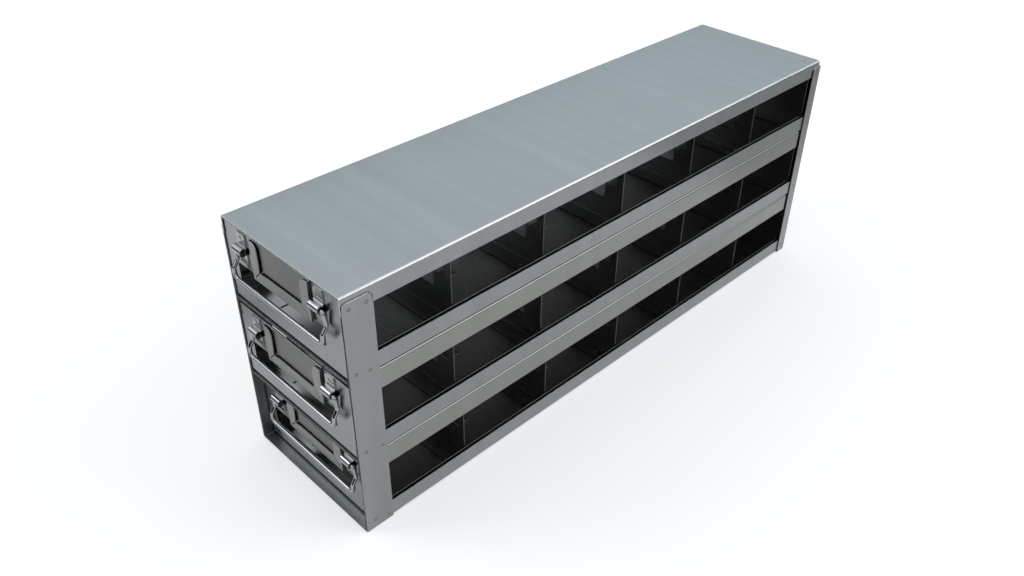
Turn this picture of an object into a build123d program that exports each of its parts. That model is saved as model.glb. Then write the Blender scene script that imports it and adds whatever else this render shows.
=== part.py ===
"""Rack with three sliding drawers for an upright freezer, folded from stainless steel sheet.

The frame is open at the sides: a cover, two shelves and a bottom tray hang between two front posts and a
rear panel. A guide channel under each shelf steadies the drawer below it. Each drawer is a low tray with a
tall front, five dividers and a back, and it is pulled by a wire bail that hangs in two rolled straps.

Millimetres, +Z up, front towards -Y, origin in the middle of the underside.
"""

import os
from math import atan2, degrees, sqrt

from build123d import *

# Sheet and wire
frame_sheet = 1.0
drawer_sheet = 1.0
frame_bend = 0.8
drawer_bend = 0.5
wire_diameter = 3.2

# Drawer tray: six compartments in a row, each as long and as wide inside as given here
compartment_count = 6
compartment_length = 90.5
compartment_width = 131.0
lip_height = 14.3
floor_slot_width = 1.4
floor_slot_length = 30.0
floor_slot_offset = 31.0
tray_behind_front = 1.5

# Drawer front, with its finger window; heights are above the drawer's floor
front_height = 64.0
front_foot = 12.0
window_width = 103.5
window_height = 17.0
window_from_left = 10.0
window_sill = 16.3
window_corner = 2.5

# Dividers and back; heights are above the drawer's floor
divider_height = 58.0
divider_foot = 15.0
notch_width = 93.0
notch_sill = 19.5
notch_corner = 4.0
flap_height = 31.8
flap_width = 10.0
flap_length = 10.0
flap_from_edge = 6.5
back_height = 52.0
plate_clearance = 0.1

# Label holder: a plate with its left, lower and right edges folded over to the front
label_sheet = 0.8
label_slot = 1.1
label_width = 68.5
label_height = 31.5
label_strip = 9.0
label_corner = 6.0
label_mitre_gap = 0.7
label_offset = 2.0
label_below_top = 0.7

# Hinge clips: straps with a rolled barrel, in which the bail's wire hangs with some play
clip_sheet = 1.0
clip_width = 10.5
label_to_clip = 3.75
clip_upper_leg = 12.7
clip_lower_leg = 11.1
clip_upper_corner = 1.5
clip_lower_corner = 2.5
clip_root_radius = 0.8
barrel_play = 0.6
barrel_below_top = 14.4

# Bail: heights are measured down from the wire's ends, reaches forward from the drawer front
bail_seat_gap = 0.1
bail_arm_gap = 2.5
bail_elbow_drop = 10.4
bail_elbow_clearance = 0.3
bail_kink_drop = 16.6
bail_bar_drop = 24.2
bail_bar_reach = 6.0
bail_end_overhang = 0.4
bail_shoulder_radius = 2.5
bail_elbow_radius = 4.0
bail_corner_radius = 4.5

# Gaps between the drawers and the frame
slide_gap = 0.3
tray_side_gap = 1.5
front_side_gap = 1.0
gap_above_front = 3.9
gap_under_cover = 1.7
front_recess = 1.0
spare_travel = 7.7
end_gap = 0.3

# Frame
shelf_flange = 14.5
cover_flange = 14.0
cover_corner = 3.0
guide_flange = 17.2
guide_short_of_back = 16.0
post_width = 24.4
post_corner = 4.0
post_below_top = 4.9
rear_flange = 13.0

# Worked out from the values above
tray_width = compartment_width + 2 * drawer_sheet
drawer_length = compartment_count * (compartment_length + drawer_sheet) + drawer_sheet
frame_inside = tray_width + 2 * tray_side_gap
frame_width = frame_inside + 2 * frame_sheet
front_width = frame_inside - 2 * front_side_gap
plate_width = compartment_width - 2 * (drawer_bend + plate_clearance)
front_above_shelf = slide_gap + drawer_sheet + front_height
row_pitch = 2 * frame_sheet + front_above_shelf + gap_above_front
cover_top = 2 * row_pitch + frame_sheet + front_above_shelf + gap_under_cover + frame_sheet
inner_depth = front_recess + drawer_length + spare_travel + end_gap
rack_depth = inner_depth + frame_sheet
rack_front = -rack_depth / 2
post_height = cover_top - post_below_top
wire_radius = wire_diameter / 2
barrel_radius = wire_radius + barrel_play
barrel_reach = barrel_radius + clip_sheet
barrel_height = drawer_sheet + front_height - barrel_below_top
hinge_height = barrel_height - barrel_play + bail_seat_gap
label_depth = 2 * label_sheet + label_slot
clip_offset = abs(label_offset) + label_width / 2 + label_to_clip + clip_width / 2

# Planes whose first axis is the way a foot flange points, with the second axis up
FOOT_TO_BACK = Plane(origin=(0, 0, 0), x_dir=(0, 1, 0), z_dir=(1, 0, 0))
FOOT_TO_FRONT = Plane(origin=(0, 0, 0), x_dir=(0, -1, 0), z_dir=(-1, 0, 0))
SEEN_FROM_BACK = Plane(origin=(0, 0, 0), x_dir=(-1, 0, 0), z_dir=(0, 1, 0))
LOW_CORNER = (Align.MIN, Align.MIN)
LOW_CENTRE = (Align.CENTER, Align.MIN)


def channel(width, height, length, sheet, bend):
    """Sheet folded up along both long edges, running back from the origin, its underside at z = 0."""
    outside = Rectangle(width, height, align=LOW_CENTRE)
    outside = fillet(outside.vertices().group_by(Axis.Y)[0], bend + sheet)
    inside = Pos(0, sheet) * Rectangle(width - 2 * sheet, height, align=LOW_CENTRE)
    inside = fillet(inside.vertices().group_by(Axis.Y)[0], bend)
    return extrude(SEEN_FROM_BACK * (outside - inside), length)


def angle_section(height, foot, sheet, bend):
    """Section of a sheet folded once, its outer corner at the origin, foot along the first axis."""
    section = Rectangle(foot, height, align=LOW_CORNER)
    section -= Pos(sheet, sheet) * Rectangle(foot, height, align=LOW_CORNER)
    section = fillet(section.vertices().sort_by_distance((sheet, sheet, 0))[0], bend)
    return fillet(section.vertices().sort_by_distance((0, 0, 0))[0], bend + sheet)


def upright_plate(width, height, foot, plane):
    """Plate that stands on a foot flange, centred on x, with its outer corner at the origin."""
    section = angle_section(height, foot, drawer_sheet, drawer_bend)
    return extrude(plane * section, width / 2, both=True)


def top_cover():
    """Sheet with side flanges and a rear lip, drawn round its two rear corners."""
    centred = (Align.CENTER, Align.MIN, Align.MAX)
    shell = Box(frame_width, inner_depth, cover_flange, align=centred)
    shell = fillet(shell.edges().filter_by(Axis.Z).group_by(Axis.Y)[-1], cover_corner)
    rim = shell.faces().sort_by(Axis.Z)[-1].edges().sort_by(Axis.Y)[1:]
    shell = fillet(rim, frame_bend + frame_sheet)

    hollow_depth = inner_depth - frame_sheet
    hollow = Box(frame_inside, 2 * hollow_depth, cover_flange, align=(Align.CENTER, Align.CENTER, Align.MAX))
    hollow = fillet(hollow.edges().filter_by(Axis.Z).group_by(Axis.Y)[-1], cover_corner - frame_sheet)
    ceiling = hollow.faces().sort_by(Axis.Z)[-1].edges().sort_by(Axis.Y)[1:]
    hollow = fillet(ceiling, frame_bend)
    return Pos(0, rack_front, cover_top) * (shell - Pos(0, 0, -frame_sheet) * hollow)


def shelf(height):
    """Tray with two up-turned flanges; it stops at the inside of the rear panel's bends."""
    tray = channel(frame_width, shelf_flange, inner_depth - frame_bend, frame_sheet, frame_bend)
    return Pos(0, rack_front, height) * tray


def guide(height):
    """Channel with its flanges down, under the shelf whose underside is at the given height."""
    rail = channel(frame_width, guide_flange, rack_depth - guide_short_of_back, frame_sheet, frame_bend)
    return Pos(0, rack_front, height) * Rot(0, 180, 0) * rail


def front_post(side):
    """Flat strip welded outside the flanges, with rounded upper corners; side is -1 left, +1 right."""
    strip = Box(frame_sheet, post_width, post_height, align=(Align.CENTER, Align.MIN, Align.MIN))
    strip = fillet(strip.edges().filter_by(Axis.X).group_by(Axis.Z)[-1], post_corner)
    return Pos(side * (frame_width + frame_sheet) / 2, rack_front, 0) * strip


def rear_panel():
    """Back sheet with its side flanges folded forward, outside the other flanges."""
    panel = channel(frame_width + 2 * frame_sheet, rear_flange, post_height, frame_sheet, frame_bend)
    panel = Rot(90, 0, 0) * panel
    flange_ends = panel.edges().filter_by(Axis.X).group_by(Axis.Y)[0].group_by(Axis.Z)[-1]
    panel = fillet(flange_ends, post_corner)
    return Pos(0, rack_depth / 2, 0) * panel


def drawer_tray():
    """Floor with two side lips. It starts behind the drawer front, which overhangs its edge."""
    start = drawer_sheet + tray_behind_front
    tray = channel(tray_width, lip_height, drawer_length - start, drawer_sheet, drawer_bend)
    tray = Pos(0, start, 0) * tray
    slot = Box(floor_slot_width, floor_slot_length, 4 * drawer_sheet, align=(Align.CENTER, Align.MIN, Align.CENTER))
    slots = [Pos(side * floor_slot_offset, front_foot, 0) * slot for side in (-1, 1)]
    return tray - slots


def drawer_front():
    """Tall panel with a finger window. Its foot lies on the floor, between the lips."""
    panel = upright_plate(front_width, front_height, front_foot, FOOT_TO_BACK)
    side_cut_width = (front_width - plate_width) / 2
    for side in (-1, 1):
        side_cut = Box(side_cut_width, front_foot, 4 * drawer_sheet, align=(Align.CENTER, Align.MIN, Align.CENTER))
        panel -= Pos(side * (plate_width + side_cut_width) / 2, drawer_sheet, 0) * side_cut

    opening = RectangleRounded(window_width, window_height, window_corner, align=LOW_CORNER)
    opening = extrude(Plane.XZ * opening, 4 * drawer_sheet, both=True)
    panel -= Pos(window_from_left - front_width / 2, 0, window_sill) * opening
    return Pos(0, 0, drawer_sheet) * panel


def divider():
    """Plate with its foot to the front, a finger notch, and a flap folded back at each side."""
    plate = upright_plate(plate_width, divider_height, divider_foot, FOOT_TO_FRONT)

    notch_height = 2 * (divider_height - notch_sill)
    notch = Pos(0, divider_height) * RectangleRounded(notch_width, notch_height, notch_corner)
    plate -= extrude(Plane.XZ * notch, 4 * drawer_sheet, both=True)

    flap_middle = plate_width / 2 - flap_from_edge - flap_width / 2
    flap_opening = Box(flap_width, 4 * drawer_sheet, flap_length, align=(Align.CENTER, Align.CENTER, Align.MIN))
    flap_root = 2 * (drawer_sheet + drawer_bend)
    section = angle_section(flap_root, drawer_sheet + flap_length, drawer_sheet, drawer_bend)
    flap = extrude(FOOT_TO_BACK * section, flap_width / 2, both=True)
    flap = mirror(flap, about=Plane.XY)
    for side in (-1, 1):
        plate -= Pos(side * flap_middle, 0, flap_height) * flap_opening
        root_cut = Pos(side * flap_middle, 0, flap_height - flap_root)
        plate -= root_cut * flap_opening
        plate += Pos(side * flap_middle, -drawer_sheet, flap_height) * flap
    return Pos(0, 0, drawer_sheet) * plate


def drawer_back():
    """Plain plate that closes the last compartment, with its foot to the front."""
    plate = upright_plate(plate_width, back_height, divider_foot, FOOT_TO_FRONT)
    return Pos(0, drawer_length, drawer_sheet) * plate


def label_holder():
    """Plate with three edges folded over; the strips meet in mitres and leave a slot for a card."""
    half = label_width / 2
    opening_half = half - label_strip
    centred = (Align.CENTER, Align.MAX, Align.MIN)
    holder = Box(label_width, label_depth, label_height, align=centred)
    folds = holder.edges().filter_by(Axis.Z)
    folds += holder.edges().filter_by(Axis.X).group_by(Axis.Z)[0]
    holder = fillet(folds, label_sheet)

    card_room = Box(label_width - 2 * label_sheet, label_slot, label_height, align=centred)
    holder -= Pos(0, -label_sheet, label_sheet) * card_room

    sight = Pos(0, label_strip) * Rectangle(2 * opening_half, label_height, align=LOW_CENTRE)
    flare = Rectangle(2 * label_corner, label_corner, align=(Align.CENTER, Align.MAX))
    for side in (-1, 1):
        corner = flare - Pos(label_corner, -label_corner) * Circle(label_corner)
        corner -= Pos(-label_corner, -label_corner) * Circle(label_corner)
        sight += Pos(side * opening_half, label_height) * corner
    front_sheet_only = -(label_depth - label_sheet - label_slot / 2)
    holder -= Pos(0, front_sheet_only, 0) * extrude(Plane.XZ * sight, label_depth)

    mitre_length = 2 * label_strip
    mitre = Rectangle(mitre_length, label_mitre_gap)
    for side in (-1, 1):
        cut = Pos(side * opening_half, label_strip) * Rot(0, 0, -side * 45) * mitre
        cut = Pos(0, front_sheet_only, 0) * extrude(Plane.XZ * cut, label_depth)
        holder -= cut
    return Pos(label_offset, 0, drawer_sheet + front_height - label_below_top - label_height) * holder


def strap_side(offset):
    """One face of the strap, seen along the hinge: leg, root, barrel, root, leg, as joined curves.

    The offset is measured from the middle of the sheet, forward positive.
    """
    middle_radius = barrel_radius + clip_sheet / 2
    root_radius = clip_root_radius + clip_sheet / 2
    root_height = 2 * sqrt(middle_radius * root_radius)
    turn = degrees(atan2(root_height, root_radius - middle_radius))
    leg = clip_sheet / 2 + offset
    root_centre = clip_sheet / 2 + root_radius
    return [
        Line((leg, clip_upper_leg), (leg, root_height)),
        CenterArc((root_centre, root_height), root_radius - offset, 180, turn),
        CenterArc((barrel_reach, 0), middle_radius + offset, -turn, 2 * turn),
        CenterArc((root_centre, -root_height), root_radius - offset, 180 - turn, turn),
        Line((leg, -root_height), (leg, -clip_lower_leg)),
    ]


def hinge_clip(side):
    """Strap with a rolled barrel and two legs that lie on the drawer front."""
    back, front = strap_side(-clip_sheet / 2), strap_side(clip_sheet / 2)
    ends = [Line((0, height), (clip_sheet, height)) for height in (clip_upper_leg, -clip_lower_leg)]
    section = make_face(back + front + ends)
    strap = extrude(FOOT_TO_FRONT * section, clip_width / 2, both=True)
    strap = fillet(strap.edges().filter_by(Axis.Y).group_by(Axis.Z)[-1], clip_upper_corner)
    strap = fillet(strap.edges().filter_by(Axis.Y).group_by(Axis.Z)[0], clip_lower_corner)
    return Pos(side * clip_offset, 0, barrel_height) * strap


def bail():
    """Wire handle, hanging. Its arms rest near the front at the elbow and kink forward to the bar."""
    arm = clip_offset + clip_width / 2 + bail_arm_gap
    end = clip_offset - clip_width / 2 - bail_end_overhang
    elbow_reach = wire_radius + bail_elbow_clearance
    right_side = [
        (end, -barrel_reach, 0),
        (arm, -barrel_reach, 0),
        (arm, -elbow_reach, -bail_elbow_drop),
        (arm, -bail_bar_reach, -bail_kink_drop),
        (arm, -bail_bar_reach, -bail_bar_drop),
    ]
    left_side = [(-x, y, z) for x, y, z in reversed(right_side)]
    side_radii = [bail_shoulder_radius, bail_elbow_radius, bail_elbow_radius, bail_corner_radius]
    path = FilletPolyline(*right_side, *left_side, radius=side_radii + side_radii[::-1])
    section = Plane(origin=path @ 0, z_dir=path % 0) * Circle(wire_radius)
    return Pos(0, 0, hinge_height) * sweep(section, path=path)


def drawer_parts():
    """All the pieces of one drawer, with the origin under the middle of its front face."""
    parts = {
        "tray": drawer_tray(),
        "front": drawer_front(),
        "back": drawer_back(),
        "label_holder": label_holder(),
        "left_clip": hinge_clip(-1),
        "right_clip": hinge_clip(1),
        "bail": bail(),
    }
    plate = divider()
    for number in range(1, compartment_count):
        rear_face = number * (compartment_length + drawer_sheet) + drawer_sheet
        parts[f"divider_{number}"] = Pos(0, rear_face, 0) * plate
    return parts


def rack_parts():
    """Every piece of the rack in its place, by node name."""
    shelf_heights = {"bottom": 0, "middle": row_pitch, "top": 2 * row_pitch}
    parts = {
        "top_cover": top_cover(),
        "upper_shelf": shelf(shelf_heights["top"]),
        "lower_shelf": shelf(shelf_heights["middle"]),
        "bottom_tray": shelf(shelf_heights["bottom"]),
        "upper_guide": guide(shelf_heights["top"]),
        "lower_guide": guide(shelf_heights["middle"]),
        "left_front_post": front_post(-1),
        "right_front_post": front_post(1),
        "rear_panel": rear_panel(),
    }
    pieces = drawer_parts()
    pushed_in = {"bottom": spare_travel, "middle": 0, "top": 0}
    for row, height in shelf_heights.items():
        front_face = rack_front + front_recess + pushed_in[row]
        place = Pos(0, front_face, height + frame_sheet + slide_gap)
        for name, piece in pieces.items():
            parts[f"{row}_drawer_{name}"] = place * piece
    return parts


os.makedirs("parts", exist_ok=True)
for node, shape in rack_parts().items():
    export_step(shape, f"parts/{node}.step")
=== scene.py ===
"""Looks of the freezer drawer rack: ground and polished steel, spot-weld marks, studio and camera."""

import math

import bmesh
import bpy
from mathutils import Euler, Matrix, Quaternion, Vector
from mathutils.bvhtree import BVHTree


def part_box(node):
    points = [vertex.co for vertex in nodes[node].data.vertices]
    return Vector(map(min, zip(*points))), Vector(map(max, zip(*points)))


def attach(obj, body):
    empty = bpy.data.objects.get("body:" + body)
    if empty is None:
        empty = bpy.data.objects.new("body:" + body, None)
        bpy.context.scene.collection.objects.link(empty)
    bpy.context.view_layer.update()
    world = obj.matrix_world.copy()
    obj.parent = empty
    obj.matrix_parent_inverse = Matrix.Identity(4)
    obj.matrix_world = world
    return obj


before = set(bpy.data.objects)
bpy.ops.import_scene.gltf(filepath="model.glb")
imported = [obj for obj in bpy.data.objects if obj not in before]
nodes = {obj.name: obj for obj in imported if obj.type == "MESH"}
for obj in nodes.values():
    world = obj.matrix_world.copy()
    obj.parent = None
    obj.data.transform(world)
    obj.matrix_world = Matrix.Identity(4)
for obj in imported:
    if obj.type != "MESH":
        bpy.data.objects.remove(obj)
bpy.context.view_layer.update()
ROWS = ("top", "middle", "bottom")
DIVIDERS = 5
MM = 0.001

# Camera, as the photograph was taken: metres, degrees, and the sensor's width in millimetres
CAMERA_PLACE = (0.464258, -0.525367, 0.541649)
CAMERA_AZIMUTH = 45.158
CAMERA_ELEVATION = 35.260
CAMERA_ROLL = 0.6035
FOCAL_LENGTH_PX = 928.52
IMAGE_WIDTH_PX = 1024
SENSOR_WIDTH = 36.0
NEAREST_SEEN = 0.01

# Colours, linear
STEEL = (0.256, 0.270, 0.273)
GUIDE_STEEL = (0.252, 0.258, 0.244)
DRAWER_STEEL = (0.230, 0.246, 0.249)
LABEL_STEEL = (0.228, 0.232, 0.226)
# Painted shade on the label holders' recessed plates
LABEL_PLATE_SHADE = (0.142, 0.144, 0.138)
INNER_STEEL = (0.240, 0.236, 0.236)
CLIP_STEEL = (0.330, 0.340, 0.340)
WIRE_STEEL = (0.340, 0.346, 0.350)
# Painted highlight on upward-facing cut edges and on the cover's and label holders' cut edges
RIM_HIGHLIGHT = (0.520, 0.525, 0.520)
# Painted highlight on the cover's bends and on the front posts' top edges
BEND_HIGHLIGHT = (0.500, 0.500, 0.490)
# Painted shade on every cut edge of the drawers' inner sheets, which lie in the dim inside
INNER_EDGE_SHADE = (0.075, 0.075, 0.074)
# Painted shade on the cut edges that face the front or the sides
SHEARED_EDGE_SHADE = (0.055, 0.052, 0.050)
# Painted shade on the shelves' bends where they turn under
TURN_UNDER_SHADE = (0.020, 0.021, 0.022)
WELD_CENTRE = (0.270, 0.272, 0.262)
WELD_TINT = (0.160, 0.125, 0.080)
FLOOR_WHITE = (0.80, 0.80, 0.80)
SKY_LOW = (0.925, 1.080, 1.180)
SKY_HIGH = (1.225, 1.205, 1.220)

# The sky turns from its low colour to its high one between these heights; 0 is the horizon, 1 is overhead
SKY_TURN = (0.40, 0.75)

# Strengths of the floor's and the sky's light; what is seen shows in the camera and in the metal
FLOOR_GLOW = 0.44
SKY_PLAIN = 0.5
SKY_SEEN = 1.22

# How often a pattern changes, per metre: along the grain and across it, or the same both ways
FINE_GRAIN = (14, 1900)
BROAD_BANDS = (1.6, 75)
SCRATCHES = (45, 620)
CLOUDS = 17.0
WEAR = 160

# The stretch of a pattern's values that is used, from its darkest to its palest
FULL_RANGE = (0.0, 1.0)
NOISE_RANGE = (0.25, 0.75)
TONE_RANGE = (0.3, 0.7)
CLOUD_RANGE = (0.35, 0.7)
SCRATCH_RANGE = (0.70, 0.76)

# How strongly a pattern shows in the ground sheets
FINE_SHARE = 0.45
BAND_SHARE = 0.55
STREAK = 0.035
STREAK_REACH = 1.6
CLOUD_DARKEST = (0.96, 0.96, 0.96)
CLOUD_PALEST = (1.02, 1.02, 1.022)
SCRATCH_STRENGTH = 0.6
GRAIN_STRENGTH = 0.12
GRAIN_HEIGHT = 0.02 * MM
ROUGHNESS_PLAY = 0.05
SMUDGE = 0.03
GLOSS_STRETCH = 0.5

# Wear in polished steel: the darkest share of its tone, and the least and most of its roughness
WEAR_DARKEST = 0.80
WEAR_LEAST = 0.8
WEAR_MOST = 1.6

# Directions in which a sheet's gloss stretches, or a weld mark faces
INWARD = (0, 1, 0)
INWARD_AND_DOWN = (0, 1, -1)
INWARD_AND_UP = (0, 1, 1)
TO_FRONT = (0, -1, 0)
UP = (0, 0, 1)

# Material slots of a dressed piece
SHEET_SLOT = 0
# For most pieces the rim slot holds a painted highlight and the sheared slot painted shade
RIM_SLOT = 1
SHEARED_SLOT = 2

# Cut edges of the sheets; metal deeper than this behind a face makes it a cut face
SHEET_REACH = 1.3 * MM
PROBE_START = 0.01 * MM

# Edge breaks of the posts, of the drawers' inner sheets and of the rest, and the smoothing of the bends
EDGE_BREAK = 0.14 * MM
POST_EDGE_BREAK = 0.42 * MM
INNER_EDGE_BREAK = 0.28 * MM
EDGE_ANGLE = math.radians(42)
EDGE_STEPS = 2
LARGE_FACE_WEIGHT = 100
MERGE_WITHIN = 0.004 * MM

# Slopes of a face by its normal's height; 1 faces up, 0 stands upright, -1 faces down
RIM_SLOPE = 0.5
TURN_UNDER_SLOPES = (-0.98, -0.3)
BEND_SLOPES = (0.1, 0.98)

# Plate of a label holder, by its sheet and by how squarely it faces the front
LABEL_SHEET = 0.8 * MM
PLATE_WITHIN = LABEL_SHEET / 4
PLATE_FACING = -0.9

# Spot-weld marks; a ring's width is a share of the radius, its rise one of the height that stands proud
WELD_RADIUS = 1.7 * MM
WELD_PROUD = 0.06 * MM
WELD_BURIED = 0.10 * MM
WELD_SIDES = 24
WELD_TAPER = 0.96
WELD_RINGS = ((0.22, 0.0), (0.22, -0.5), (0.30, 0.15))

# Where a mark's colours lie, from its middle to its rim
WELD_CENTRE_ENDS = 0.18
WELD_TINT_AT = 0.62
WELD_RIM_AT = 0.98
WELD_ROUGHNESS = 0.42

# Spot welds on each post: millimetres behind the rack's front, and above its underside
POST_WELDS = (
    (5.6, 201.0), (19.0, 200.5), (6.0, 148.5), (17.0, 146.5),
    (6.8, 77.9), (20.4, 75.9), (8.4, 8.5), (20.4, 5.0),
)

# Spot welds elsewhere: lists of heights and of places across are in millimetres
REAR_WELD_HEIGHTS = (202.5, 149.0, 78.5, 8.0)
REAR_WELD_INSET = 6.0 * MM
LABEL_WELDS_ACROSS = (-19.0, 21.0)
LABEL_WELD_HEIGHT = 17.5 * MM
CLIP_SHEET = 1.0 * MM
CLIP_WELD_BELOW_TOP = 3.2 * MM
CLIP_WELD_ABOVE_FOOT = 3.6 * MM
FOOT_WELDS_ACROSS = (-48.0, 0.0, 48.0)
FOOT_WELD_INSET = 6.5 * MM
FOOT_SHEET = 1.0 * MM

# Turns of the studio's cards, and the sides of its round wall
LYING = (0, 0, 0)
FACING_SIDEWAYS = (0, math.radians(90), 0)
FACING_FRONT_LEFT = (math.radians(90), 0, math.radians(-45))
SURROUND_SIDES = 96

# Sockets of a Mix node that blends colours
MIX_FACTOR = 0
MIX_FIRST = 6
MIX_SECOND = 7
MIX_RESULT = 2


# Shader building

def bare_material(name):
    """A node material with nothing but its output, whose surface socket comes with it."""
    material = bpy.data.materials.new(name)
    material.use_nodes = True
    tree = material.node_tree
    tree.nodes.clear()
    output = tree.nodes.new("ShaderNodeOutputMaterial")
    return material, tree, output.inputs["Surface"]


def steel_material(name):
    """A bare metal with its Principled shader wired to the output."""
    material, tree, surface = bare_material(name)
    shader = tree.nodes.new("ShaderNodeBsdfPrincipled")
    shader.inputs["Metallic"].default_value = 1.0
    tree.links.new(shader.outputs["BSDF"], surface)
    return material, tree, shader


def feed(tree, socket, operand):
    """Set a socket to a number or a linear colour, or link another socket to it."""
    if isinstance(operand, (int, float)):
        socket.default_value = operand
    elif isinstance(operand, tuple):
        socket.default_value = (*operand, 1.0)
    else:
        tree.links.new(operand, socket)


def math_node(tree, operation, first, second):
    """One Math node; a value or a socket for each operand."""
    node = tree.nodes.new("ShaderNodeMath")
    node.operation = operation
    feed(tree, node.inputs[0], first)
    feed(tree, node.inputs[1], second)
    return node.outputs[0]


def blend_colour(tree, factor, first, second, mode="MIX"):
    """Mix two colours, each a linear triple or a socket."""
    node = tree.nodes.new("ShaderNodeMix")
    node.data_type = "RGBA"
    node.blend_type = mode
    feed(tree, node.inputs[MIX_FACTOR], factor)
    feed(tree, node.inputs[MIX_FIRST], first)
    feed(tree, node.inputs[MIX_SECOND], second)
    return node.outputs[MIX_RESULT]


def object_axes(tree):
    """The three Object coordinates as sockets."""
    coordinates = tree.nodes.new("ShaderNodeTexCoord")
    split = tree.nodes.new("ShaderNodeSeparateXYZ")
    tree.links.new(coordinates.outputs["Object"], split.inputs[0])
    return split.outputs


def joined(tree, x, y, z=0.0):
    """Three operands as one vector."""
    node = tree.nodes.new("ShaderNodeCombineXYZ")
    for socket, operand in zip(node.inputs, (x, y, z)):
        feed(tree, socket, operand)
    return node.outputs[0]


def noise(tree, vector, detail=2.0, roughness=0.5):
    """Noise at scale one over a vector that already carries its frequencies."""
    node = tree.nodes.new("ShaderNodeTexNoise")
    node.inputs["Scale"].default_value = 1.0
    node.inputs["Detail"].default_value = detail
    node.inputs["Roughness"].default_value = roughness
    tree.links.new(vector, node.inputs["Vector"])
    return node.outputs["Fac"]


def spread(tree, value, source, target):
    """Map a value from one range to another, clamped to its ends."""
    node = tree.nodes.new("ShaderNodeMapRange")
    tree.links.new(value, node.inputs["Value"])
    node.inputs["From Min"].default_value = source[0]
    node.inputs["From Max"].default_value = source[1]
    node.inputs["To Min"].default_value = target[0]
    node.inputs["To Max"].default_value = target[1]
    return node.outputs["Result"]


def grain_vector(tree, axes, grain, pace):
    """Coordinates stretched along the sheet's grain; pace is how often it changes along and across.

    folded: the grain runs along X and down the flanges; front: along X on upright plates; upright: along Z.
    """
    x, y, z = axes
    if grain == "folded":
        slow, fast = math_node(tree, "ADD", x, z), y
    elif grain == "front":
        slow, fast = x, math_node(tree, "ADD", z, y)
    else:
        slow, fast = z, math_node(tree, "ADD", x, y)
    along = math_node(tree, "MULTIPLY", slow, pace[0])
    across = math_node(tree, "MULTIPLY", fast, pace[1])
    return joined(tree, along, across)


def even_vector(tree, axes, pace):
    """Coordinates whose pattern changes as often in every direction."""
    return joined(tree, *[math_node(tree, "MULTIPLY", axis, pace) for axis in axes])


def sheet_steel(name, colour, grain, gloss_along, roughness, streak=STREAK, stretch=GLOSS_STRETCH):
    """Ground stainless sheet: fine grain, broad bands along it, cloudy smudges and hairline scratches."""
    material, tree, shader = steel_material(name)
    axes = object_axes(tree)
    fine = noise(tree, grain_vector(tree, axes, grain, FINE_GRAIN), detail=3.0, roughness=0.6)
    bands = noise(tree, grain_vector(tree, axes, grain, BROAD_BANDS))
    clouds = noise(tree, even_vector(tree, axes, CLOUDS), detail=3.0, roughness=0.55)
    scratches = noise(tree, grain_vector(tree, axes, grain, SCRATCHES), detail=1.0)

    darker = tuple(part * (1 - STREAK_REACH * streak) for part in colour)
    lighter = tuple(min(1.0, part * (1 + STREAK_REACH * streak)) for part in colour)
    fine_part = math_node(tree, "MULTIPLY", fine, FINE_SHARE)
    band_part = math_node(tree, "MULTIPLY", bands, BAND_SHARE)
    tone = spread(tree, math_node(tree, "ADD", fine_part, band_part), TONE_RANGE, FULL_RANGE)
    grained = blend_colour(tree, tone, darker, lighter)

    cloudiness = spread(tree, clouds, CLOUD_RANGE, FULL_RANGE)
    cloudy = blend_colour(tree, cloudiness, CLOUD_DARKEST, CLOUD_PALEST)
    smudged = blend_colour(tree, 1.0, grained, cloudy, "MULTIPLY")

    scratched = spread(tree, scratches, SCRATCH_RANGE, FULL_RANGE)
    scratch_part = math_node(tree, "MULTIPLY", scratched, SCRATCH_STRENGTH)
    tree.links.new(blend_colour(tree, scratch_part, smudged, lighter), shader.inputs["Base Color"])

    grain_gloss = spread(tree, fine, NOISE_RANGE, (roughness - ROUGHNESS_PLAY, roughness + ROUGHNESS_PLAY))
    cloud_gloss = spread(tree, clouds, NOISE_RANGE, (-SMUDGE, SMUDGE))
    tree.links.new(math_node(tree, "ADD", grain_gloss, cloud_gloss), shader.inputs["Roughness"])
    shader.inputs["Anisotropic"].default_value = stretch
    tree.links.new(joined(tree, *gloss_along), shader.inputs["Tangent"])

    bump = tree.nodes.new("ShaderNodeBump")
    bump.inputs["Strength"].default_value = GRAIN_STRENGTH
    bump.inputs["Distance"].default_value = GRAIN_HEIGHT
    tree.links.new(fine, bump.inputs["Height"])
    tree.links.new(bump.outputs["Normal"], shader.inputs["Normal"])
    return material


def polished_steel(name, colour, roughness):
    """Steel of one tone with faint cloudy wear, for drawn and rolled parts and for the painted highlight and
    painted shade of edges and bends.
    """
    material, tree, shader = steel_material(name)
    wear = noise(tree, even_vector(tree, object_axes(tree), WEAR), detail=3.0)
    darker = tuple(part * WEAR_DARKEST for part in colour)
    worn = blend_colour(tree, spread(tree, wear, NOISE_RANGE, FULL_RANGE), darker, colour)
    gloss = spread(tree, wear, NOISE_RANGE, (roughness * WEAR_LEAST, roughness * WEAR_MOST))
    tree.links.new(worn, shader.inputs["Base Color"])
    tree.links.new(gloss, shader.inputs["Roughness"])
    return material


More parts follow.
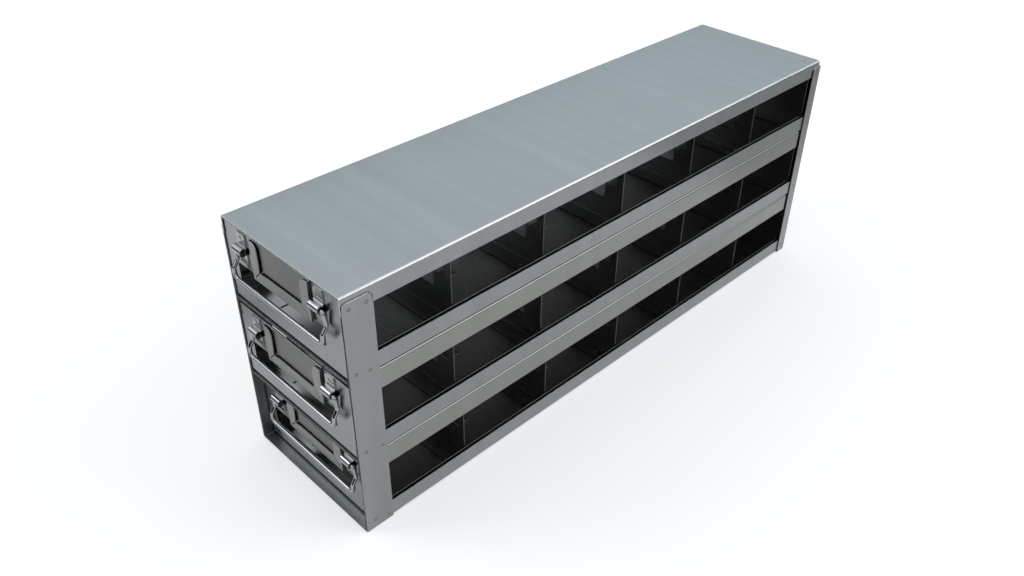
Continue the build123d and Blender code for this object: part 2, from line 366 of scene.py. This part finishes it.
def weld_steel(name):
    """Heat-tinted spot weld: a straw-brown ring round a paler middle, read from the mark's own UV map."""
    material, tree, shader = steel_material(name)
    uv = tree.nodes.new("ShaderNodeUVMap")
    uv.uv_map = "mark"
    length = tree.nodes.new("ShaderNodeVectorMath")
    length.operation = "LENGTH"
    tree.links.new(uv.outputs["UV"], length.inputs[0])
    ring = tree.nodes.new("ShaderNodeValToRGB")
    stops = ring.color_ramp.elements
    stops[0].position = WELD_CENTRE_ENDS
    stops[0].color = (*WELD_CENTRE, 1.0)
    stops[1].position = WELD_RIM_AT
    stops[1].color = (*STEEL, 1.0)
    tint = stops.new(WELD_TINT_AT)
    tint.color = (*WELD_TINT, 1.0)
    tree.links.new(length.outputs["Value"], ring.inputs["Fac"])
    tree.links.new(ring.outputs["Color"], shader.inputs["Base Color"])
    shader.inputs["Roughness"].default_value = WELD_ROUGHNESS
    return material


# Finishes on the rack's own pieces, with painted highlight and painted shade on their cut edges and bends

frame_sheet = sheet_steel("frame_sheet", STEEL, "folded", INWARD, roughness=0.30, streak=0.055)
post_sheet = sheet_steel("post_sheet", STEEL, "upright", INWARD, roughness=0.33)
rear_sheet = sheet_steel("rear_sheet", STEEL, "front", UP, roughness=0.30)
guide_sheet = sheet_steel("guide_sheet", GUIDE_STEEL, "folded", INWARD, roughness=0.32)
front_sheet = sheet_steel("front_sheet", DRAWER_STEEL, "front", INWARD_AND_DOWN, roughness=0.22, stretch=0.85)
label_sheet = sheet_steel("label_sheet", LABEL_STEEL, "front", UP, roughness=0.34, streak=0.06)
shaded_label_plate = sheet_steel("shaded_label_plate", LABEL_PLATE_SHADE, "front", UP, roughness=0.36, streak=0.08)
tray_sheet = sheet_steel("tray_sheet", INNER_STEEL, "folded", INWARD, roughness=0.30)
divider_sheet = sheet_steel("divider_sheet", INNER_STEEL, "front", INWARD_AND_UP, roughness=0.30)
clip_steel = polished_steel("clip_steel", CLIP_STEEL, roughness=0.12)
wire_steel = polished_steel("wire_steel", WIRE_STEEL, roughness=0.05)
painted_rim_highlight = polished_steel("painted_rim_highlight", RIM_HIGHLIGHT, roughness=0.30)
painted_bend_highlight = polished_steel("painted_bend_highlight", BEND_HIGHLIGHT, roughness=0.22)
painted_inner_edge_shade = polished_steel("painted_inner_edge_shade", INNER_EDGE_SHADE, roughness=0.35)
painted_edge_shade = polished_steel("painted_edge_shade", SHEARED_EDGE_SHADE, roughness=0.45)
painted_turn_under_shade = polished_steel("painted_turn_under_shade", TURN_UNDER_SHADE, roughness=0.50)
weld_mark_steel = weld_steel("weld_mark_steel")


def finish_for(name):
    """The finish of a piece of the rack, by its name."""
    if "guide" in name:
        return guide_sheet
    if "post" in name:
        return post_sheet
    if name == "rear_panel":
        return rear_sheet
    if name.endswith("_clip"):
        return clip_steel
    if name.endswith("_bail"):
        return wire_steel
    if name.endswith("label_holder"):
        return label_sheet
    if name.endswith("drawer_front"):
        return front_sheet
    if "divider" in name or name.endswith("_back"):
        return divider_sheet
    if name.endswith("_drawer_tray"):
        return tray_sheet
    return frame_sheet


def cut_faces(piece):
    """The faces with more metal behind them than the sheet is thick: the sheet's cut edges."""
    corners = [vertex.co for vertex in piece.data.vertices]
    tree = BVHTree.FromPolygons(corners, [face.vertices for face in piece.data.polygons])
    for face in piece.data.polygons:
        inward = -face.normal
        hit = tree.ray_cast(face.center + inward * PROBE_START, inward, SHEET_REACH)
        if hit[0] is None:
            yield face


def dress(piece, finish, rim, sheared, edge_break):
    """Give a piece its finish, and smooth its bends.

    Its upper rims and its other cut faces get materials of their own, which for most pieces are a painted
    highlight on the upper rims and painted shade on the other cut faces.
    """
    data = piece.data
    data.materials.clear()
    for material in (finish, rim, sheared):
        data.materials.append(material)
    for face in cut_faces(piece):
        # Upward-facing cut faces take the painted highlight slot, the others the painted shade slot
        face.material_index = RIM_SLOT if face.normal.z > RIM_SLOPE else SHEARED_SLOT
    data.shade_smooth()
    merge = piece.modifiers.new("merge", "WELD")
    merge.merge_threshold = MERGE_WITHIN
    edge = piece.modifiers.new("edge_break", "BEVEL")
    edge.width = edge_break
    edge.segments = EDGE_STEPS
    edge.limit_method = "ANGLE"
    edge.angle_limit = EDGE_ANGLE
    edge.material = -1
    edge.harden_normals = False
    even = piece.modifiers.new("even_shading", "WEIGHTED_NORMAL")
    even.mode = "FACE_AREA_WITH_ANGLE"
    even.weight = LARGE_FACE_WEIGHT


def finish_faces(piece, material, chosen):
    """Give the faces that chosen picks a finish of their own, in one more slot."""
    own_slot = len(piece.data.materials)
    piece.data.materials.append(material)
    for face in piece.data.polygons:
        if chosen(face):
            face.material_index = own_slot


def is_sheet_between(face, slopes):
    """Whether a face is uncut sheet whose slope lies between the two given ones."""
    return slopes[0] < face.normal.z < slopes[1] and face.material_index == SHEET_SLOT


def paint_turn_under_shade(shelf):
    """Painted shade on a shelf's bends where they turn under, towards the guide or the floor."""
    finish_faces(shelf, painted_turn_under_shade, lambda face: is_sheet_between(face, TURN_UNDER_SLOPES))


def paint_bend_highlights(cover):
    """Painted highlight on the cover's bends, where the flanges turn down."""
    finish_faces(cover, painted_bend_highlight, lambda face: is_sheet_between(face, BEND_SLOPES))


def shade_label_plate(holder):
    """Painted shade on the plate at the back of a label holder, where it lies recessed behind the strips
    folded over it.
    """
    plate_face = max(vertex.co.y for vertex in holder.data.vertices) - LABEL_SHEET

    def on_plate(face):
        """Whether a face lies on the plate's front."""
        return face.normal.y < PLATE_FACING and abs(face.center.y - plate_face) < PLATE_WITHIN

    finish_faces(holder, shaded_label_plate, on_plate)


# Cut edges get painted highlight or painted shade: bright on upward rims and all round on the cover and label
# holders, dark on the other cut faces and on every cut edge of the drawers' inner sheets; bails and clips
# keep their own finish
for name, piece in nodes.items():
    finish = finish_for(name)
    if name.endswith(("_bail", "_clip")):
        dress(piece, finish, finish, finish, EDGE_BREAK)
    elif "divider" in name or name.endswith(("_drawer_tray", "_drawer_back")):
        dress(piece, finish, painted_inner_edge_shade, painted_inner_edge_shade, INNER_EDGE_BREAK)
    elif name == "top_cover" or name.endswith("label_holder"):
        dress(piece, finish, painted_rim_highlight, painted_rim_highlight, EDGE_BREAK)
    elif name.endswith("drawer_front"):
        dress(piece, finish, finish, painted_edge_shade, EDGE_BREAK)
    elif name.endswith("front_post"):
        dress(piece, finish, painted_bend_highlight, painted_edge_shade, POST_EDGE_BREAK)
        piece.modifiers["edge_break"].use_clamp_overlap = False
    else:
        dress(piece, finish, painted_rim_highlight, painted_edge_shade, EDGE_BREAK)
paint_bend_highlights(nodes["top_cover"])
for name in ("upper_shelf", "lower_shelf", "bottom_tray"):
    paint_turn_under_shade(nodes[name])
for row in ROWS:
    shade_label_plate(nodes[f"{row}_drawer_label_holder"])


# New objects

def object_of(name, mesh, material):
    """The finished mesh as a new object of the scene, in its material."""
    data = bpy.data.meshes.new(name)
    mesh.to_mesh(data)
    mesh.free()
    data.materials.append(material)
    made = bpy.data.objects.new(name, data)
    bpy.context.scene.collection.objects.link(made)
    return made


# Spot-weld marks

def weld_mark(mesh, uv_layer, centre, facing):
    """One flattened nugget with a pressed rim and middle, partly sunk in the sheet that carries it.

    The corners of the marks that the mesh already holds carry a tag, so the others belong to this one.
    """
    depth = WELD_PROUD + WELD_BURIED
    made = bmesh.ops.create_cone(
        mesh, cap_ends=True, cap_tris=False, segments=WELD_SIDES,
        radius1=WELD_RADIUS, radius2=WELD_RADIUS * WELD_TAPER, depth=depth,
    )
    bmesh.ops.translate(mesh, verts=made["verts"], vec=(0, 0, WELD_PROUD - depth / 2))
    sides_and_caps = {face for corner in made["verts"] for face in corner.link_faces}
    crown = max(sides_and_caps, key=lambda face: face.calc_center_median().z)
    for width, rise in WELD_RINGS:
        bmesh.ops.inset_individual(
            mesh, faces=[crown], thickness=WELD_RADIUS * width, depth=WELD_PROUD * rise,
        )
    corners = [corner for corner in mesh.verts if not corner.tag]
    for face in {face for corner in corners for face in corner.link_faces}:
        face.smooth = True
        for loop in face.loops:
            loop[uv_layer].uv = (loop.vert.co.x / WELD_RADIUS, loop.vert.co.y / WELD_RADIUS)
    turn = Vector(UP).rotation_difference(Vector(facing)).to_matrix().to_4x4()
    bmesh.ops.transform(mesh, matrix=Matrix.Translation(centre) @ turn, verts=corners)
    for corner in corners:
        corner.tag = True


def weld_marks(name, body, places):
    """All the marks of one body as one piece. Places are (centre, facing) in metres."""
    mesh = bmesh.new()
    uv_layer = mesh.loops.layers.uv.new("mark")
    for centre, facing in places:
        weld_mark(mesh, uv_layer, centre, facing)
    piece = object_of(name, mesh, weld_mark_steel)
    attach(piece, body)


def rack_weld_places():
    """Marks on the two posts and on the rear panel's flanges, as high as the sheets behind them."""
    low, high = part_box("right_front_post")
    front, outside = low.y, high.x
    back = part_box("rear_panel")[1].y
    places = []
    for side in (-1, 1):
        for depth, height in POST_WELDS:
            places.append(((side * outside, front + depth * MM, height * MM), (side, 0, 0)))
    for side in (-1, 1):
        for height in REAR_WELD_HEIGHTS:
            places.append(((side * outside, back - REAR_WELD_INSET, height * MM), (side, 0, 0)))
    return places


def drawer_weld_places(row):
    """Marks on the label plate, on the clips' legs and on the feet of the dividers and the back."""
    places = []
    low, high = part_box(f"{row}_drawer_label_holder")
    for across in LABEL_WELDS_ACROSS:
        centre = (across * MM, high.y - LABEL_SHEET, low.z + LABEL_WELD_HEIGHT)
        places.append((centre, TO_FRONT))
    for clip in ("left_clip", "right_clip"):
        low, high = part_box(f"{row}_drawer_{clip}")
        middle = (low.x + high.x) / 2
        for height in (high.z - CLIP_WELD_BELOW_TOP, low.z + CLIP_WELD_ABOVE_FOOT):
            places.append(((middle, high.y - CLIP_SHEET, height), TO_FRONT))
    footed = [f"divider_{number}" for number in range(1, DIVIDERS + 1)] + ["back"]
    for wall in footed:
        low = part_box(f"{row}_drawer_{wall}")[0]
        for across in FOOT_WELDS_ACROSS:
            places.append(((across * MM, low.y + FOOT_WELD_INSET, low.z + FOOT_SHEET), UP))
    return places


weld_marks("rack_weld_marks", "rack", rack_weld_places())
for row in ROWS:
    weld_marks(f"{row}_drawer_weld_marks", f"{row}_drawer", drawer_weld_places(row))


# Studio

def seen_directly(tree):
    """One where a ray comes from the camera, from gloss or through glass, and zero for plain light."""
    ray = tree.nodes.new("ShaderNodeLightPath")
    seen = math_node(tree, "MAXIMUM", ray.outputs["Is Camera Ray"], ray.outputs["Is Glossy Ray"])
    return math_node(tree, "MAXIMUM", seen, ray.outputs["Is Transmission Ray"])


def floor_material():
    """Matt white floor that keeps the shadow, and shows a little whiter to the camera and in the metal."""
    material, tree, surface = bare_material("studio_floor")
    matt = tree.nodes.new("ShaderNodeBsdfDiffuse")
    matt.inputs["Color"].default_value = (*FLOOR_WHITE, 1.0)
    glow = tree.nodes.new("ShaderNodeEmission")
    tree.links.new(math_node(tree, "MULTIPLY", seen_directly(tree), FLOOR_GLOW), glow.inputs["Strength"])
    both = tree.nodes.new("ShaderNodeAddShader")
    tree.links.new(matt.outputs[0], both.inputs[0])
    tree.links.new(glow.outputs[0], both.inputs[1])
    tree.links.new(both.outputs[0], surface)
    return material


def card_material(name, brightness):
    """A card of one even grey, whatever light falls on it."""
    material, tree, surface = bare_material(name)
    glow = tree.nodes.new("ShaderNodeEmission")
    glow.inputs["Color"].default_value = (brightness, brightness, brightness, 1.0)
    tree.links.new(glow.outputs[0], surface)
    return material


def flat_card(name, width, length, place, turn, material):
    """A rectangle for the floor or a studio card."""
    mesh = bmesh.new()
    bmesh.ops.create_grid(mesh, x_segments=1, y_segments=1, size=0.5)
    bmesh.ops.scale(mesh, vec=(width, length, 1), verts=mesh.verts)
    seat = Matrix.Translation(place) @ Euler(turn).to_matrix().to_4x4()
    bmesh.ops.transform(mesh, matrix=seat, verts=mesh.verts)
    card = object_of(name, mesh, material)
    return card


def show_in_metal_only(card):
    """Hide a card from everything but gloss, so that it neither shades nor lights the rack or the floor."""
    card.visible_camera = False
    card.visible_diffuse = False
    card.visible_shadow = False
    card.visible_transmission = False


def grey_card(name, width, length, place, turn, brightness):
    """A grey card that only shows in the metal, as photographers set beside bright steel."""
    card = flat_card(name, width, length, place, turn, card_material(name, brightness))
    show_in_metal_only(card)


def dark_ring(name, middle, radius, height, brightness):
    """A low dark wall round the rack that only shows in the metal: the room beyond a lit table."""
    mesh = bmesh.new()
    bmesh.ops.create_cone(
        mesh, cap_ends=False, segments=SURROUND_SIDES, radius1=radius, radius2=radius, depth=height,
    )
    bmesh.ops.translate(mesh, verts=mesh.verts, vec=(*middle, height / 2))
    ring = object_of(name, mesh, card_material(name, brightness))
    show_in_metal_only(ring)


def softbox(name, place, target, width, height, radiance):
    """Area lamp that points at the target; radiance is what the metal sees of it."""
    lamp = bpy.data.lights.new(name, "AREA")
    lamp.shape = "RECTANGLE"
    lamp.size = width
    lamp.size_y = height
    lamp.energy = radiance * width * height * math.pi
    holder = bpy.data.objects.new(name, lamp)
    bpy.context.scene.collection.objects.link(holder)
    holder.location = place
    aim = Vector(target) - Vector(place)
    holder.rotation_euler = aim.to_track_quat("-Z", "Y").to_euler()


def studio_sky():
    """A pale sky, bluish low down, and brighter to the camera and in the metal than as light."""
    world = bpy.data.worlds.new("studio_world")
    bpy.context.scene.world = world
    world.use_nodes = True
    tree = world.node_tree
    tree.nodes.clear()
    output = tree.nodes.new("ShaderNodeOutputWorld")
    background = tree.nodes.new("ShaderNodeBackground")
    more_seen = math_node(tree, "MULTIPLY", seen_directly(tree), SKY_SEEN - SKY_PLAIN)
    tree.links.new(math_node(tree, "ADD", more_seen, SKY_PLAIN), background.inputs["Strength"])
    place = tree.nodes.new("ShaderNodeTexCoord")
    split = tree.nodes.new("ShaderNodeSeparateXYZ")
    tree.links.new(place.outputs["Generated"], split.inputs[0])
    height = spread(tree, split.outputs["Z"], SKY_TURN, FULL_RANGE)
    tree.links.new(blend_colour(tree, height, SKY_LOW, SKY_HIGH), background.inputs["Color"])
    tree.links.new(background.outputs[0], output.inputs["Surface"])


def photograph_camera():
    """The camera at the photograph's place, turned to look along its azimuth and elevation."""
    lens = bpy.data.cameras.new("camera")
    lens.sensor_width = SENSOR_WIDTH
    lens.lens = FOCAL_LENGTH_PX * SENSOR_WIDTH / IMAGE_WIDTH_PX
    lens.clip_start = NEAREST_SEEN
    camera = bpy.data.objects.new("camera", lens)
    bpy.context.scene.collection.objects.link(camera)
    azimuth = math.radians(CAMERA_AZIMUTH)
    elevation = math.radians(CAMERA_ELEVATION)
    look_back = Vector((
        math.sin(azimuth) * math.cos(elevation),
        -math.cos(azimuth) * math.cos(elevation),
        math.sin(elevation),
    ))
    camera.location = CAMERA_PLACE
    camera.rotation_mode = "QUATERNION"
    roll = Quaternion((0, 0, 1), math.radians(CAMERA_ROLL))
    camera.rotation_quaternion = (-look_back).to_track_quat("-Z", "Y") @ roll
    bpy.context.scene.camera = camera


flat_card("studio_floor", width=3.6, length=3.6, place=(0, 0, 0), turn=LYING, material=floor_material())
grey_card(
    "left_card", width=0.34, length=0.80, place=(-0.36, 0.24, 0.17), turn=FACING_SIDEWAYS, brightness=0.05,
)
grey_card(
    "back_right_card", width=0.44, length=0.55, place=(0.39, 0.615, 0.002), turn=LYING, brightness=0.56,
)
grey_card(
    "front_flag", width=0.20, length=0.035, place=(-0.227, -0.349, 0.0175), turn=FACING_FRONT_LEFT,
    brightness=0.30,
)
dark_ring("studio_surround", middle=(0, -0.15), radius=1.30, height=0.45, brightness=0.04)
softbox(
    "back_right_box", place=(1.50, 1.30, 1.25), target=(0, 0, 0.1), width=1.6, height=1.5, radiance=1.8,
)
softbox(
    "front_left_box", place=(-1.0, -1.25, 1.3), target=(0, -0.2, 0.15), width=0.75, height=0.75,
    radiance=3.2,
)
studio_sky()
photograph_camera()
bpy.context.scene.view_settings.view_transform = "Standard"
